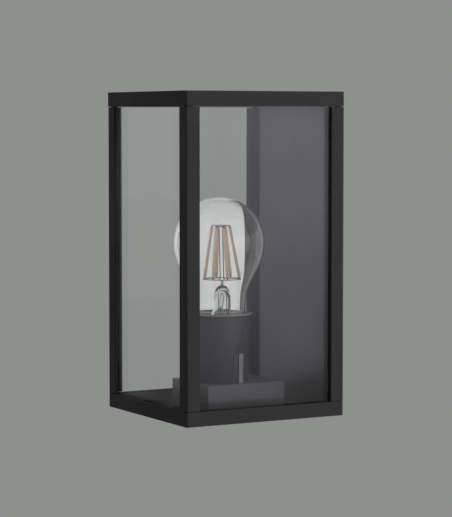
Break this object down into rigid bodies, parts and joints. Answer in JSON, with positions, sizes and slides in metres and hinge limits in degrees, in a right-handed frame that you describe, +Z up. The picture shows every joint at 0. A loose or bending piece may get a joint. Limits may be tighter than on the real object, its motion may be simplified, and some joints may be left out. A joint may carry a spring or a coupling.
{
  "type": "outdoor wall lantern",
  "caption": "Rectangular black steel wall lantern with three clear panes, a lift-off roof and an upright filament bulb in a screw lampholder.",
  "frame": {"origin": "on the wall plane, midway between the two wall fixing slots of the mounting plate", "axes": "+Z up, -Y out of the wall towards the lantern's front, +X to the right along the wall as seen from behind the origin looking along +Y"},
  "size_m": [0.1174, 0.1213, 0.22],
  "materials": {
    "powder_coat": "fine matte black powder coat",
    "pan_coat": "smooth satin black coat",
    "zinc_steel": "bright zinc plate",
    "black_screw": "black oxide",
    "black_rubber": "matte",
    "foam": "closed-cell foam",
    "pane_glass": "clear float glass, polished edges",
    "white_plastic": "moulded polyamide",
    "brass": "plain",
    "brown_insulation": "soft wire insulation",
    "blue_insulation": "soft wire insulation",
    "green_insulation": "green wire insulation with yellow stripes",
    "holder_plastic": "satin black thermoset",
    "porcelain": "unglazed",
    "solder": "bright tinned",
    "black_glass": "gloss",
    "nickel": "nickel plate",
    "circuit_board": "solder mask",
    "bulb_glass": "clear thin blown glass",
    "lamp_wire": "nickel wire",
    "phosphor": "silicone with yellow-orange phosphor, unlit"
  },
  "bodies": {
    "lantern": {"mounting_plate": "zinc_steel", "cable_grommet": "black_rubber", "back_pan": "pan_coat", "pan_rivets": "zinc_steel", "head_screws": "black_screw", "bottom_tray": "powder_coat", "post_front_left": "powder_coat", "post_front_right": "powder_coat", "post_rear_left": "powder_coat", "post_rear_right": "powder_coat", "post_screws": "black_screw", "glass_front": "pane_glass", "glass_left": "pane_glass", "glass_right": "pane_glass", "glass_channels": "black_rubber", "glazing_tapes": "black_rubber", "lamp_bracket": "powder_coat", "bracket_screws": "black_screw", "terminal_block": "white_plastic", "terminal_inserts": "brass", "terminal_screws": "zinc_steel", "terminal_fixing": "black_screw", "earth_screw": "brass", "earth_tag": "zinc_steel", "lead_live": "brown_insulation", "lead_neutral": "blue_insulation", "lead_earth": "green_insulation", "lampholder_shell": "holder_plastic", "lampholder_collar": "holder_plastic", "lampholder_core": "porcelain", "lampholder_screws": "zinc_steel", "thread_sleeve": "brass", "centre_contact": "brass", "side_contact": "brass"},
    "roof": {"roof_cap": "powder_coat", "roof_seals": "foam", "roof_screws": "black_screw"},
    "bulb_tip": {"bulb_contact": "solder"},
    "bulb": {"bulb_cap": "nickel", "bulb_insulator": "black_glass", "bulb_driver": "circuit_board", "bulb_glass": "bulb_glass", "bulb_stem": "bulb_glass", "bulb_wires": "lamp_wire", "filament_crown": "lamp_wire", "filament_ring": "lamp_wire", "filaments": "phosphor"}
  },
  "joints": [
    {"name": "roof_lift", "type": "slide", "parent": "lantern", "child": "roof", "axis": [0, 0, 1], "range_m": [0, 0.12]},
    {"name": "bulb_rise", "type": "slide", "parent": "lantern", "child": "bulb_tip", "axis": [0, 0, 1], "range_m": [0, 0.01815]},
    {"name": "bulb_turn", "type": "hinge", "parent": "bulb_tip", "child": "bulb", "pos_m": [0, -0.0645, -0.0195], "axis": [0, 0, 1], "range_deg": [0, 1800]}
  ],
  "couplings": [
    {"joint": "bulb_rise", "follows": "bulb_turn", "m_per_rad": 0.00057757}
  ]
}
